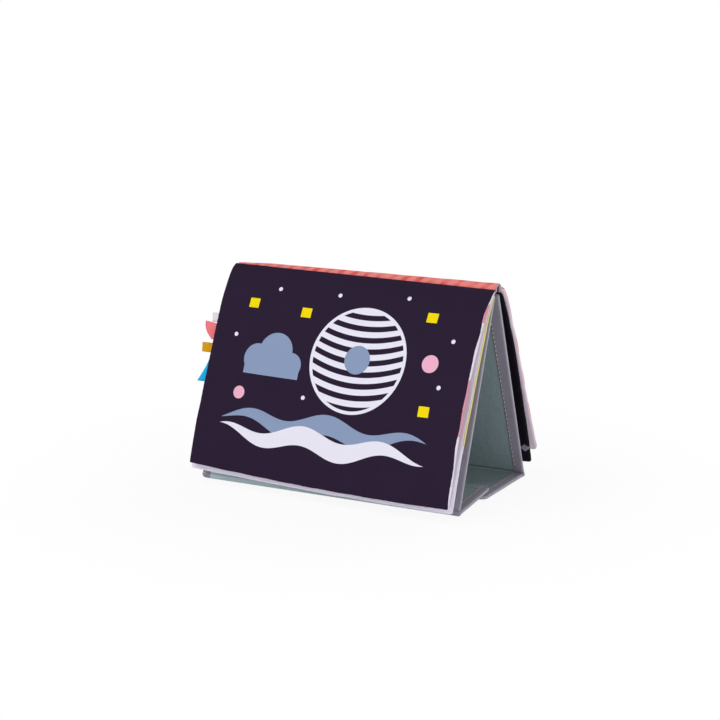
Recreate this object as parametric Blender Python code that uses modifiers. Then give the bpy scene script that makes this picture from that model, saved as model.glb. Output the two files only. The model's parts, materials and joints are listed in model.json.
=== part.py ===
"""A crinkle cloth book: four padded leaves hung over the ridge of a folding tent stand."""
import math

import bmesh
import bpy
import numpy as np
from mathutils import Matrix, Vector

# Stand, in metres and degrees
STAND_LENGTH = 0.269
RIDGE_HEIGHT = 0.192
RIDGE_FORWARD = 0.002
PANEL_LEAN = 20.6
PANEL_SPREAD = 0.0023
REAR_FLAP_REACH = 0.091
FLAP_OVERLAP = 0.012
FLAP_CORNER = 0.006
CLEARANCE = 0.0003
OVERRUN = 0.002

# Layers of a stand panel
BOARD = 0.0016
COVER_FABRIC = 0.0006
TAPE_WIDTH = 0.0122
TAPE_ROUND = 0.0007
PANEL_THICKNESS = BOARD + 2 * COVER_FABRIC + 2 * CLEARANCE
HALF_PANEL = PANEL_THICKNESS / 2

# Hook-and-loop closure
STRIP_THICKNESS = 0.0008
STRIP_WIDTH = 0.008
STRIP_LENGTH = 0.2

# Spine roll along the ridge
SPINE_LENGTH = 0.272
BAND_RADIUS = 0.0062
BAND_WALL = 0.0008
BAND_HALF_DEGREES = 116
ROLL_RECESS = 0.006

# Leaves
PAGE_LENGTH = 0.272
PAGE_HEIGHT = 0.201
PAGE_FABRIC = 0.0005
PAGE_THICKNESS = 0.0036
SEAM_WIDTH = 0.003
FILM = 0.0003
MIDDLE_SHARE = 0.5
SLOPE_STEP_SHARE = 0.004
SEAM_STEP_SHARES = (0, 0.3, 1)
PAGE_COLUMNS = 4
PAGE_ROWS = 9
LINE_STEPS = 200

# Ribbon loops
RIBBON = 0.0005
RIBBON_SEAM_GAP = 0.0008
RIBBON_POINTS = 11
RIBBON_ROWS = 2
RIBBON_CUT_POWER = 1.3
RIBBON_BULGE_SHARE = 1.3

# Colours, linear
SAGE = (0.30, 0.43, 0.44)
SAGE_DARK = (0.19, 0.28, 0.29)
TAPE_GREY = (0.20, 0.19, 0.22)
BOARD_WHITE = (0.75, 0.74, 0.72)
AUBERGINE = (0.027, 0.014, 0.040)
BLACK = (0.006, 0.004, 0.008)
LAVENDER = (0.80, 0.76, 0.88)
MAUVE = (0.55, 0.28, 0.34)
CREAM = (0.72, 0.62, 0.30)
CORAL = (0.80, 0.16, 0.16)
MUSTARD = (0.66, 0.34, 0.01)
CYAN = (0.0, 0.50, 0.85)
RIBBON_CORAL = (1.0, 0.24, 0.25)
FILM_SILVER = (0.60, 0.62, 0.66)
HOOK_GREY = (0.16, 0.17, 0.18)

# The ridge axis, and each panel's fold where it meets the floor
LEAN = math.radians(PANEL_LEAN)
RIDGE = Vector((0, -RIDGE_FORWARD, RIDGE_HEIGHT))
PANEL_REACH = (RIDGE_HEIGHT - HALF_PANEL + PANEL_SPREAD * math.sin(LEAN)) / math.cos(LEAN)
FOLD_OUT = PANEL_REACH * math.sin(LEAN) + PANEL_SPREAD * math.cos(LEAN)
FRONT_FOLD = Vector((0, -RIDGE_FORWARD - FOLD_OUT, HALF_PANEL))
REAR_FOLD = Vector((0, -RIDGE_FORWARD + FOLD_OUT, HALF_PANEL))
FRONT_FLAP_REACH = 2 * FOLD_OUT - REAR_FLAP_REACH + FLAP_OVERLAP
STRIP_RISE = HALF_PANEL + 2 * CLEARANCE + STRIP_THICKNESS
STRIP_DROP = HALF_PANEL + CLEARANCE + STRIP_THICKNESS
STRIP_NEAR = FRONT_FLAP_REACH - FLAP_OVERLAP / 2 - STRIP_WIDTH / 2
FLAP_RISE = math.atan2(STRIP_DROP, STRIP_NEAR) + math.asin(
    STRIP_RISE / math.hypot(STRIP_NEAR, STRIP_DROP)
)
FRONT_CREASE = HALF_PANEL / math.tan((math.pi / 2 - LEAN - FLAP_RISE) / 2)
REAR_CREASE = HALF_PANEL / math.tan((math.pi / 2 - LEAN) / 2)
ROOT_RADIUS = BAND_RADIUS + PAGE_FABRIC + 2 * CLEARANCE

# Each leaf's side of the ridge. Then for its left and right end: where the root sits round the
# spine, its length, and how far it leans past the panel at each station. Its hem bows between them
LEAF_SIDES = {"leaf_1": -1, "leaf_2": -1, "leaf_3": 1, "leaf_4": 1}
ROOT_DEGREES = {"leaf_1": (124, 92), "leaf_2": (74, 72), "leaf_3": (72, 72), "leaf_4": (92, 92)}
LENGTH_SHARES = {
    "leaf_1": (0.996, 1.035),
    "leaf_2": (0.98, 1.01),
    "leaf_3": (0.985, 0.97),
    "leaf_4": (1.005, 0.994),
}
HEM_BOW_SHARES = {"leaf_1": 0.013, "leaf_2": 0.009, "leaf_3": 0.004, "leaf_4": 0.004}
LEAN_STATION_SHARES = (0, 0.05, 0.15, 0.4, 0.7, 1)
LEAN_DEGREES = {
    "leaf_1": ((53, 22.8, 9.6, 1.9, 4.1, -5), (64.4, 28.2, 17.4, 9.2, -1.8, -7)),
    "leaf_2": ((33, 21, 8.4, 2, -0.5, -3), (26.1, 10.6, 5.4, 4.2, 4.1, -2.9)),
    "leaf_3": ((19, 13, 8, 2, 1, 0), (19, 13, 9, 2.5, 1, 0)),
    "leaf_4": ((66, 24, 7, 4.5, 4, 5), (68, 22, 6.5, 5.3, 4.9, 9.5)),
}
LEAF_COLOURS = {
    "leaf_1": (AUBERGINE, MAUVE),
    "leaf_2": (LAVENDER, CREAM),
    "leaf_3": (SAGE_DARK, BLACK),
    "leaf_4": (CORAL, LAVENDER),
}

# Each ribbon loop: its place down the second leaf's left edge, how far its upper and its lower edge
# reach, how much of the seam it takes up, how wide its loop opens, and how far it droops
RIBBON_PLACE_SHARES = {
    "ribbon_lavender": 0.2565,
    "ribbon_coral": 0.324,
    "ribbon_mustard": 0.413,
    "ribbon_cyan": 0.52,
}
RIBBON_REACHES = {
    "ribbon_lavender": (0.0095, 0.0095),
    "ribbon_coral": (0.0134, 0.0045),
    "ribbon_mustard": (0.0133, 0.0133),
    "ribbon_cyan": (0.0035, 0.0138),
}
RIBBON_SPANS = {
    "ribbon_lavender": 0.0086,
    "ribbon_coral": 0.016,
    "ribbon_mustard": 0.0094,
    "ribbon_cyan": 0.0175,
}
RIBBON_OPENINGS = {
    "ribbon_lavender": 0.002,
    "ribbon_coral": 0.003,
    "ribbon_mustard": 0.002,
    "ribbon_cyan": 0.0036,
}
RIBBON_DROOP_DEGREES = {
    "ribbon_lavender": 2,
    "ribbon_coral": 1,
    "ribbon_mustard": 0,
    "ribbon_cyan": 9,
}
RIBBON_COLOURS = {
    "ribbon_lavender": LAVENDER,
    "ribbon_coral": RIBBON_CORAL,
    "ribbon_mustard": MUSTARD,
    "ribbon_cyan": CYAN,
}


def clear_scene():
    """Removes every object that the scene starts with."""
    for thing in list(bpy.data.objects):
        bpy.data.objects.remove(thing, do_unlink=True)


def new_collection(name):
    """A collection in the scene."""
    made = bpy.data.collections.new(name)
    bpy.context.scene.collection.children.link(made)
    return made


def finish(name, colour, roughness=0.85):
    """A plain cloth or card material."""
    made = bpy.data.materials.new(name)
    made.use_nodes = True
    shader = made.node_tree.nodes["Principled BSDF"]
    shader.inputs["Base Color"].default_value = (*colour, 1)
    shader.inputs["Roughness"].default_value = roughness
    made.diffuse_color = (*colour, 1)
    return made


def pivot(name, place, reach=None, outward=None):
    """An empty on a joint's axis, with its Y along the piece and its Z outward."""
    empty = bpy.data.objects.new(name, None)
    BOOK.objects.link(empty)
    turn = Matrix.Identity(3)
    if reach is not None:
        turn = Matrix((reach.cross(outward), reach, outward)).transposed()
    empty.matrix_world = Matrix.Translation(place) @ turn.to_4x4()
    return empty


def piece(name, shape, colour, parent, collection=None, roughness=0.85):
    """An object made from a bmesh given in its parent's own frame."""
    mesh = bpy.data.meshes.new(name)
    shape.to_mesh(mesh)
    shape.free()
    made = bpy.data.objects.new(name, mesh)
    (collection or BOOK).objects.link(made)
    mesh.materials.append(finish(name, colour, roughness))
    made.parent = parent
    return made


def block(low, high):
    """A box between two corners, as a bmesh."""
    shape = bmesh.new()
    bmesh.ops.create_cube(shape, size=1)
    middle = (Vector(low) + Vector(high)) / 2
    size = Vector(high) - Vector(low)
    bmesh.ops.scale(shape, vec=size, verts=shape.verts)
    bmesh.ops.translate(shape, vec=middle, verts=shape.verts)
    return shape


def swept(outline, along):
    """The open surface that an outline leaves as it moves along a vector."""
    shape = bmesh.new()
    corners = [shape.verts.new(point) for point in outline]
    edges = [shape.edges.new(pair) for pair in zip(corners, corners[1:])]
    moved = bmesh.ops.extrude_edge_only(shape, edges=edges)["geom"]
    new_corners = [item for item in moved if isinstance(item, bmesh.types.BMVert)]
    bmesh.ops.translate(shape, vec=along, verts=new_corners)
    return shape


def thicken(thing, thickness, offset):
    """Gives an open surface its thickness: offset 1 puts it on the normals' side, -1 behind."""
    layer = thing.modifiers.new("thickness", "SOLIDIFY")
    layer.thickness = thickness
    layer.offset = offset
    layer.use_even_offset = True


def arc(centre, radius, start, end, steps):
    """Points of an arc in a YZ plane, its angles in degrees from straight up towards +Y."""
    angles = [math.radians(start + (end - start) * n / steps) for n in range(steps + 1)]
    return [centre + radius * Vector((0, math.sin(a), math.cos(a))) for a in angles]


def rod(length, radius, segments):
    """A cylinder along X, as a bmesh."""
    shape = bmesh.new()
    bmesh.ops.create_cone(
        shape, cap_ends=True, segments=segments, radius1=radius, radius2=radius, depth=length
    )
    bmesh.ops.rotate(shape, matrix=Matrix.Rotation(math.pi / 2, 3, "Y"), verts=shape.verts)
    return shape


def prism(outline, along):
    """A flat outline carried along a vector, as a closed bmesh facing out."""
    shape = bmesh.new()
    face = shape.faces.new([shape.verts.new(point) for point in outline])
    moved = bmesh.ops.extrude_face_region(shape, geom=[face])["geom"]
    far = [item for item in moved if isinstance(item, bmesh.types.BMVert)]
    bmesh.ops.translate(shape, vec=along, verts=far)
    bmesh.ops.recalc_face_normals(shape, faces=shape.faces)
    return shape


def corner_cutter(name, parent, side, end, spread):
    """The waste outside a flap's rounded free corner, as a prism through the flap."""
    x, y = side * STAND_LENGTH / 2, end
    centre = Vector((x - side * FLAP_CORNER, y - FLAP_CORNER, 0))
    turns = [math.pi / 2 * n / 5 for n in range(6)]
    rim = [centre + FLAP_CORNER * Vector((side * math.sin(a), math.cos(a), 0)) for a in turns]
    outside = [
        Vector((x + side * OVERRUN, rim[-1].y, 0)),
        Vector((x + side * OVERRUN, y + OVERRUN, 0)),
        Vector((rim[0].x, y + OVERRUN, 0)),
    ]
    depth = HALF_PANEL + OVERRUN
    low = Vector((0, 0, spread - depth))
    cutter = piece(
        name, prism([p + low for p in rim + outside], (0, 0, 2 * depth)), TAPE_GREY, parent, CUTTERS
    )
    cutter.hide_render = True
    cutter.display_type = "WIRE"
    return cutter


def cut(thing, cutter):
    """Takes a cutter out of a piece."""
    step = thing.modifiers.new("corner", "BOOLEAN")
    step.operation = "DIFFERENCE"
    step.object = cutter


def binding(name, parent, side, start, end, spread):
    """The folded tape round one end of a panel."""
    outer = side * STAND_LENGTH / 2
    inner = outer - side * TAPE_WIDTH
    half = HALF_PANEL
    turns = [math.pi / 2 * n / 2 for n in range(3)]
    high = Vector((outer - side * TAPE_ROUND, 0, half - TAPE_ROUND))
    bend = [high + TAPE_ROUND * Vector((side * math.sin(a), 0, math.cos(a))) for a in turns]
    upper = [Vector((inner, 0, half))] + bend
    lower = [Vector((p.x, 0, -p.z)) for p in reversed(upper)]
    outline = [p + Vector((0, start, spread)) for p in upper + lower]
    tape = piece(name, swept(outline, (0, end - start, 0)), TAPE_GREY, parent)
    thicken(tape, COVER_FABRIC, side)
    return tape


def panel(name, parent, start, end, spread, rounded):
    """A stiff panel: a board between two fabrics, with tape folded round both its ends."""
    half_length = STAND_LENGTH / 2
    board_x = half_length - COVER_FABRIC - CLEARANCE
    cloth_x = half_length - TAPE_WIDTH - CLEARANCE
    board = piece(
        f"{name}_board",
        block((-board_x, start, spread - BOARD / 2), (board_x, end, spread + BOARD / 2)),
        BOARD_WHITE,
        parent,
    )
    outer_low = spread + BOARD / 2 + CLEARANCE
    inner_high = spread - BOARD / 2 - CLEARANCE
    piece(
        f"{name}_face",
        block((-cloth_x, start, outer_low), (cloth_x, end, outer_low + COVER_FABRIC)),
        SAGE,
        parent,
    )
    piece(
        f"{name}_lining",
        block((-cloth_x, start, inner_high - COVER_FABRIC), (cloth_x, end, inner_high)),
        SAGE_DARK,
        parent,
    )
    for side in (-1, 1):
        world_side = side * round(parent.matrix_world.col[0].x)
        hand = "right" if world_side > 0 else "left"
        tape = binding(f"{name}_binding_{hand}", parent, side, start, end, spread)
        if rounded:
            cutter = corner_cutter(f"{name}_{hand}_corner", parent, side, end, spread)
            cut(tape, cutter)
            cut(board, cutter)


def fold(name, parent, place, panel_way, flap_way, crease):
    """The padded fabric corner between a panel and its base flap, in the panel's frame.

    Each way is a piece's own reach and outward directions from the fold's centre.
    """
    (panel_reach, panel_out), (flap_reach, flap_out) = panel_way, flap_way
    inner = place + flap_reach * crease - flap_out * HALF_PANEL
    turn = panel_out.angle(flap_out)
    axis = panel_out.cross(flap_out).normalized()
    bend = [place + Matrix.Rotation(turn * n / 6, 3, axis) @ panel_out * HALF_PANEL for n in range(7)]
    panel_corner = place - panel_reach * crease + panel_out * HALF_PANEL
    flap_corner = place + flap_reach * crease + flap_out * HALF_PANEL
    half = Vector((STAND_LENGTH / 2, 0, 0))
    outline = [point - half for point in [inner, panel_corner, *bend, flap_corner]]
    shape = prism(outline, 2 * half)
    shape.transform(parent.matrix_world.inverted())
    return piece(name, shape, SAGE, parent)


def tent(side, place, crease, flap_way, hinge_side):
    """One leaning panel, its padded fold on the floor and its base flap.

    The flap turns on the fold's inner crease (hinge side -1) or its outer one (1).
    """
    name = "front" if side < 0 else "rear"
    reach = Vector((0, side * math.sin(LEAN), -math.cos(LEAN)))
    outward = Vector((0, side * math.cos(LEAN), math.sin(LEAN)))
    leaning = pivot(f"{name}_panel_pivot", RIDGE, reach, outward)
    start = BAND_RADIUS + CLEARANCE
    end = PANEL_REACH - crease - CLEARANCE
    panel("front_panel" if side < 0 else "back_panel", leaning, start, end, PANEL_SPREAD, False)
    fold(f"{name}_fold", leaning, place, (reach, outward), flap_way, crease)
    flap_reach, flap_out = flap_way
    hinge = place + flap_reach * crease + flap_out * HALF_PANEL * hinge_side
    return pivot(f"{name}_flap_pivot", hinge, flap_reach, flap_out)


def strip(name, parent, middle, surface, side, colour):
    """A sewn strip of the hook-and-loop closure, on a flap's face."""
    near = surface + side * CLEARANCE
    low, high = sorted((near, near + side * STRIP_THICKNESS))
    half_length, half_width = STRIP_LENGTH / 2, STRIP_WIDTH / 2
    shape = block((-half_length, middle - half_width, low), (half_length, middle + half_width, high))
    piece(name, shape, colour, parent)


def stand():
    """The tent: two panels, and a base of two flaps that lap over a hook-and-loop closure."""
    rising = (
        Vector((0, math.cos(FLAP_RISE), math.sin(FLAP_RISE))),
        Vector((0, math.sin(FLAP_RISE), -math.cos(FLAP_RISE))),
    )
    level = (Vector((0, -1, 0)), Vector((0, 0, -1)))
    front = tent(-1, FRONT_FOLD, FRONT_CREASE, rising, -1)
    rear = tent(1, REAR_FOLD, REAR_CREASE, level, 1)
    front_end = FRONT_FLAP_REACH - FRONT_CREASE
    rear_end = REAR_FLAP_REACH - REAR_CREASE
    panel("front_flap", front, CLEARANCE, front_end, HALF_PANEL, True)
    panel("rear_flap", rear, CLEARANCE, rear_end, -HALF_PANEL, True)
    strip("loop_strip", front, front_end - FLAP_OVERLAP / 2, PANEL_THICKNESS, 1, SAGE_DARK)
    strip("hook_strip", rear, rear_end - FLAP_OVERLAP / 2, -PANEL_THICKNESS, -1, HOOK_GREY)


def spine():
    """The roll along the ridge: rolled seam allowances, striped band over, lining under."""
    root = pivot("spine_pivot", RIDGE)
    along = Vector((SPINE_LENGTH, 0, 0))
    first = Vector((-SPINE_LENGTH / 2, 0, 0))
    gap = math.degrees(CLEARANCE / (BAND_RADIUS - BAND_WALL))
    band = piece(
        "spine_band",
        swept(arc(first, BAND_RADIUS, -BAND_HALF_DEGREES, BAND_HALF_DEGREES, 16), along),
        CORAL,
        root,
    )
    lining = piece(
        "ridge_lining",
        swept(arc(first, BAND_RADIUS, BAND_HALF_DEGREES + gap, 360 - BAND_HALF_DEGREES - gap, 9), along),
        SAGE_DARK,
        root,
    )
    for thing in (band, lining):
        thicken(thing, BAND_WALL, -1)
    roll = rod(SPINE_LENGTH - 2 * ROLL_RECESS, BAND_RADIUS - BAND_WALL - CLEARANCE, 16)
    piece("seam_roll", roll, TAPE_GREY, root)


def root_place(name, end):
    """Where the left (0) or right (1) end of a leaf's root sits, in Y and Z."""
    angle = math.radians(ROOT_DEGREES[name][end])
    out = LEAF_SIDES[name] * ROOT_RADIUS * math.sin(angle)
    return np.array((RIDGE.y + out, RIDGE.z - ROOT_RADIUS * math.cos(angle)))


def hanging_line(name, end):
    """The Y and Z of a leaf's end from root to hem, as a function of the share of its length."""
    at = np.arange(LINE_STEPS + 1) / LINE_STEPS
    middles = (at[1:] + at[:-1]) / 2
    lean = np.radians(PANEL_LEAN + np.interp(middles, LEAN_STATION_SHARES, LEAN_DEGREES[name][end]))
    step = PAGE_HEIGHT * LENGTH_SHARES[name][end] * (1 + HEM_BOW_SHARES[name]) / LINE_STEPS
    moves = np.stack((LEAF_SIDES[name] * np.sin(lean), -np.cos(lean)), axis=1) * step
    line = root_place(name, end) + np.concatenate((np.zeros((1, 2)), np.cumsum(moves, axis=0)))
    return lambda share: (np.interp(share, at, line[:, 0]), np.interp(share, at, line[:, 1]))


def leaf_middle(name):
    """A leaf's middle surface: a point from its shares across and down."""
    left_line, right_line = hanging_line(name, 0), hanging_line(name, 1)
    bow = HEM_BOW_SHARES[name]

    def point(across, down):
        x = (across - MIDDLE_SHARE) * PAGE_LENGTH
        hung = down * (1 + 4 * bow * across * (1 - across)) / (1 + bow)
        return Vector((x, *left_line(hung))).lerp(Vector((x, *right_line(hung))), across)

    return point


def leaf_normal(name, point, across, down):
    """The leaf's outward direction there."""
    before, after = max(across - SLOPE_STEP_SHARE, 0), min(across + SLOPE_STEP_SHARE, 1)
    above, below = max(down - SLOPE_STEP_SHARE, 0), min(down + SLOPE_STEP_SHARE, 1)
    over = point(after, down) - point(before, down)
    fall = point(across, below) - point(across, above)
    return (over.cross(fall) * LEAF_SIDES[name]).normalized()


def stations(length, inset, steps, inner):
    """Distances from one edge to the other, close together in the seams' rounded width."""
    near = [inset + (SEAM_WIDTH - inset) * share for share in steps]
    middle = [
        SEAM_WIDTH + (length - 2 * SEAM_WIDTH) * (n + 1) / inner for n in range(inner - 1)
    ]
    return near + middle + [length - distance for distance in reversed(near)]


def seam_round(distance):
    """How far a leaf has swelled to its full thickness at this distance from its seam."""
    share = min(distance / SEAM_WIDTH, 1)
    return math.sqrt(1 - (1 - share) ** 2)


def leaf_sheet(name, height, facing, inset, steps):
    """One layer of a leaf as an open grid, at a height from its middle surface."""
    point = leaf_middle(name)
    columns = stations(PAGE_LENGTH, inset, steps, PAGE_COLUMNS)
    rows = stations(PAGE_HEIGHT, inset, steps, PAGE_ROWS)
    shape = bmesh.new()
    bmesh.ops.create_grid(
        shape, x_segments=len(columns) - 1, y_segments=len(rows) - 1, size=1
    )
    for vert in shape.verts:
        column = columns[round((vert.co.x + 1) / 2 * (len(columns) - 1))]
        row = rows[round((vert.co.y + 1) / 2 * (len(rows) - 1))]
        across, down = column / PAGE_LENGTH, row / PAGE_HEIGHT
        edge = min(column, PAGE_LENGTH - column, row, PAGE_HEIGHT - row)
        vert.co = point(across, down) + leaf_normal(name, point, across, down) * height(edge)
    shape.normal_update()
    lowest = min(shape.faces, key=lambda face: face.calc_center_median().z)
    outward = leaf_normal(name, point, MIDDLE_SHARE, MIDDLE_SHARE) * facing
    if lowest.normal.dot(outward) < 0:
        bmesh.ops.reverse_faces(shape, faces=shape.faces)
    return shape


def leaf(name):
    """A leaf: two fabrics seamed round the rim, with crinkle film and wadding between them."""
    outer_colour, inner_colour = LEAF_COLOURS[name]
    if name in ("leaf_1", "leaf_4"):
        left, right = (Vector((0, *root_place(name, end))) for end in (0, 1))
        place = (left + right) / 2
    else:
        place = RIDGE
    parent = pivot(f"{name}_pivot", place)
    half_gap = CLEARANCE / 2
    full = PAGE_THICKNESS / 2 - PAGE_FABRIC
    film_middle = full - CLEARANCE - FILM / 2
    wadding_high = film_middle - FILM / 2 - CLEARANCE
    wadding_low = -full + CLEARANCE
    inset = SEAM_WIDTH + CLEARANCE

    def swell(edge):
        return half_gap + (full - half_gap) * seam_round(edge)

    layers = (
        ("outer_fabric", swell, 1, 0, SEAM_STEP_SHARES, PAGE_FABRIC, 1, outer_colour),
        ("inner_fabric", lambda edge: -swell(edge), -1, 0, SEAM_STEP_SHARES, PAGE_FABRIC, 1, inner_colour),
        ("crinkle_film", lambda edge: film_middle, 1, inset, (0,), FILM, 0, FILM_SILVER),
        (
            "wadding",
            lambda edge: (wadding_high + wadding_low) / 2,
            1,
            inset,
            (0,),
            wadding_high - wadding_low,
            0,
            BOARD_WHITE,
        ),
    )
    for layer, height, facing, inset_here, steps, thickness, offset, colour in layers:
        shape = leaf_sheet(name, height, facing, inset_here, steps)
        bmesh.ops.translate(shape, vec=-place, verts=shape.verts)
        thing = piece(f"{name}_{layer}", shape, colour, parent)
        thicken(thing, thickness, offset)
        thing.data.shade_smooth()


def ribbon(name):
    """A folded ribbon loop sewn into the left edge of the second leaf."""
    down, span = RIBBON_PLACE_SHARES[name], RIBBON_SPANS[name]
    upper, lower = RIBBON_REACHES[name]
    point = leaf_middle("leaf_2")
    normal = leaf_normal("leaf_2", point, 0, down)
    edge = (point(0, down - SLOPE_STEP_SHARE) - point(0, down + SLOPE_STEP_SHARE)).normalized()
    root = point(0, down) - Vector((PAGE_FABRIC + RIBBON_SEAM_GAP, 0, 0))
    parent = pivot(f"{name}_pivot", root)
    angle = math.radians(RIBBON_DROOP_DEGREES[name])
    away = Vector((-math.cos(angle), 0, 0)) - edge * math.sin(angle)
    ply = (RIBBON + CLEARANCE) / 2
    shape = bmesh.new()
    bmesh.ops.create_grid(shape, x_segments=RIBBON_POINTS - 1, y_segments=RIBBON_ROWS, size=1)
    for vert in shape.verts:
        turn, fall = vert.co.x, (1 - vert.co.y) / 2
        reach = upper + (lower - upper) * fall**RIBBON_CUT_POWER
        opening = RIBBON_OPENINGS[name] * reach / max(upper, lower)
        along = (reach - RIBBON / 2) * (1 - turn**2)
        off = ply * turn + opening * RIBBON_BULGE_SHARE * turn * (1 - turn**2)
        vert.co = away * along + normal * off + edge * span * vert.co.y / 2
    loop = piece(name, shape, RIBBON_COLOURS[name], parent, roughness=0.5)
    thicken(loop, RIBBON, 0)


def build():
    """Makes every piece."""
    stand()
    spine()
    for name in LEAF_SIDES:
        leaf(name)
    for name in RIBBON_COLOURS:
        ribbon(name)


clear_scene()
BOOK = new_collection("crinkle_cloth_book")
CUTTERS = new_collection("cutters")
build()
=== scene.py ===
"""A crinkle cloth book hanging over its tent stand, in printed cloth, binding tape and ribbon."""
import json
import math

import bmesh
import bpy
import numpy as np
from mathutils import Matrix, Vector


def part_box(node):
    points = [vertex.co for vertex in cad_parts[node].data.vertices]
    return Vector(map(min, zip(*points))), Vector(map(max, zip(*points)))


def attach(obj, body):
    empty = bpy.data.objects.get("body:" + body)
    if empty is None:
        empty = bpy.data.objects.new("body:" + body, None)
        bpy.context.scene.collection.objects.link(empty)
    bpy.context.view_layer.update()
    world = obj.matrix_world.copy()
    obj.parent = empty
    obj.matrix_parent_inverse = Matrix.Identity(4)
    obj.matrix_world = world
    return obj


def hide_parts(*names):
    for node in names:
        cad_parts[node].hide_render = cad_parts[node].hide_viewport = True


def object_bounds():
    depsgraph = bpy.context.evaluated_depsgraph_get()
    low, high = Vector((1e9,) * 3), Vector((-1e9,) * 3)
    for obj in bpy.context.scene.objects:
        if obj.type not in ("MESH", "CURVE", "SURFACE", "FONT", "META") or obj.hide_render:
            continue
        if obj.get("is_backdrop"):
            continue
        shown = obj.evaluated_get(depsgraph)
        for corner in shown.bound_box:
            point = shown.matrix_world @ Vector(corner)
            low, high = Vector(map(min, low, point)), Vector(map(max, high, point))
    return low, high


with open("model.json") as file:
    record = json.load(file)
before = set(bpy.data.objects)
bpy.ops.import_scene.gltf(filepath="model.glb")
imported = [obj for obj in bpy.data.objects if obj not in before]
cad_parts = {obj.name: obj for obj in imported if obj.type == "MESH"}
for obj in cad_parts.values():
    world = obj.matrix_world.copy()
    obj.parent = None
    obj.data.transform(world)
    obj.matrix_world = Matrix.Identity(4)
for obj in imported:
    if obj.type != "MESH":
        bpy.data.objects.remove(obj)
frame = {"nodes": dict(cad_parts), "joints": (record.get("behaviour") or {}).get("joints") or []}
solid_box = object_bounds()

# Stiffening boards. Each panel and flap of the stand is cut from thin pale board, which the
# cloth and the tape then hide, apart from its edges inside the folds. In every pair of colours
# the shade comes first.
BOARD = ("#bdb8ae", "#dcd8d0")
PANELS = ("front_panel", "back_panel", "front_flap", "rear_flap")


def tint(code):
    """A colour written as on screen, in the renderer's linear numbers."""
    parts = [int(code[n : n + 2], 16) / 255 for n in (1, 3, 5)]
    return (*[((part + 0.055) / 1.055) ** 2.4 for part in parts], 1)


class Value:
    """A number that changes over a surface. A sum on it adds the material's Math nodes."""

    def __init__(self, finish, socket):
        self.finish = finish
        self.socket = socket

    def math(self, operation, *others, clamp=False):
        settings = {"operation": operation, "use_clamp": clamp}
        return self.finish.node("ShaderNodeMath", settings, dict(enumerate((self, *others))))

    def __add__(self, other):
        return self.math("ADD", other)

    def __sub__(self, other):
        return self.math("SUBTRACT", other)

    def __rsub__(self, other):
        return self.math("MULTIPLY_ADD", -1, other)

    def __mul__(self, other):
        return self.math("MULTIPLY", other)

    def __pow__(self, other):
        return self.math("POWER", other)

    __radd__ = __add__
    __rmul__ = __mul__


class Finish:
    """A material in the making, with its shader's even values and its nodes."""

    def __init__(self, name, roughness=0.85, gloss=0.25, sheen=0.0):
        self.material = bpy.data.materials.new(name)
        self.material.use_nodes = True
        self.tree = self.material.node_tree
        self.shader = self.tree.nodes["Principled BSDF"]
        self.shader.inputs["Roughness"].default_value = roughness
        self.shader.inputs["Specular IOR Level"].default_value = gloss
        self.shader.inputs["Sheen Weight"].default_value = sheen

    def feed(self, socket, value):
        """Gives a socket what changes over the surface, or one even value."""
        if isinstance(value, Value):
            self.tree.links.new(value.socket, socket)
        else:
            socket.default_value = value

    def node(self, kind, settings=None, inputs=None, output=0):
        made = self.tree.nodes.new(kind)
        for name, value in (settings or {}).items():
            setattr(made, name, value)
        for name, value in (inputs or {}).items():
            self.feed(made.inputs[name], value)
        return Value(self, made.outputs[output])

    def spot(self, source="UV"):
        """The place on the piece as three numbers in millimetres."""
        place = self.node("ShaderNodeTexCoord", output=source)
        inputs = {0: place, "Scale": 1000}
        scaled = self.node("ShaderNodeVectorMath", {"operation": "SCALE"}, inputs)
        apart = self.node("ShaderNodeSeparateXYZ", None, {0: scaled})
        outputs = apart.socket.node.outputs
        return scaled, [Value(self, outputs[axis]) for axis in "XYZ"]

    def noise(self, place, size, detail=2.0, rough=0.5):
        """Cloudy noise from 0 to 1, its clouds this many millimetres across."""
        inputs = {"Vector": place, "Scale": 1 / size, "Detail": detail, "Roughness": rough}
        return self.node("ShaderNodeTexNoise", None, inputs)

    def mix(self, low, high, share):
        """One colour or another, by a share."""
        made = self.tree.nodes.new("ShaderNodeMix")
        made.data_type = "RGBA"
        sockets = {s.name: s for s in made.inputs if s.enabled}
        for name, value in {"Factor": share, "A": low, "B": high}.items():
            self.feed(sockets[name], value)
        return Value(self, next(s for s in made.outputs if s.enabled))

    def colour(self, value):
        self.feed(self.shader.inputs["Base Color"], value)

    def relief(self, height, distance):
        """Raised detail: a height from 0 to 1 over a distance in millimetres."""
        inputs = {"Height": height, "Distance": distance / 1000, "Strength": 1.0}
        self.feed(self.shader.inputs["Normal"], self.node("ShaderNodeBump", None, inputs))


def board_finish():
    """Grey-flecked pressed board."""
    finish = Finish("pressed board", 0.75)
    place, _ = finish.spot("Object")
    flecks = finish.noise(place, 1.5, 4.0)
    finish.colour(finish.mix(*map(tint, BOARD), flecks))
    finish.relief(flecks, 0.05)
    return finish.material


def wear(node, material):
    """Gives a CAD piece its material."""
    mesh = frame["nodes"][node].data
    mesh.materials.clear()
    mesh.materials.append(material)


pressed_board = board_finish()
for panel in PANELS:
    wear(f"{panel}_board", pressed_board)

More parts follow.
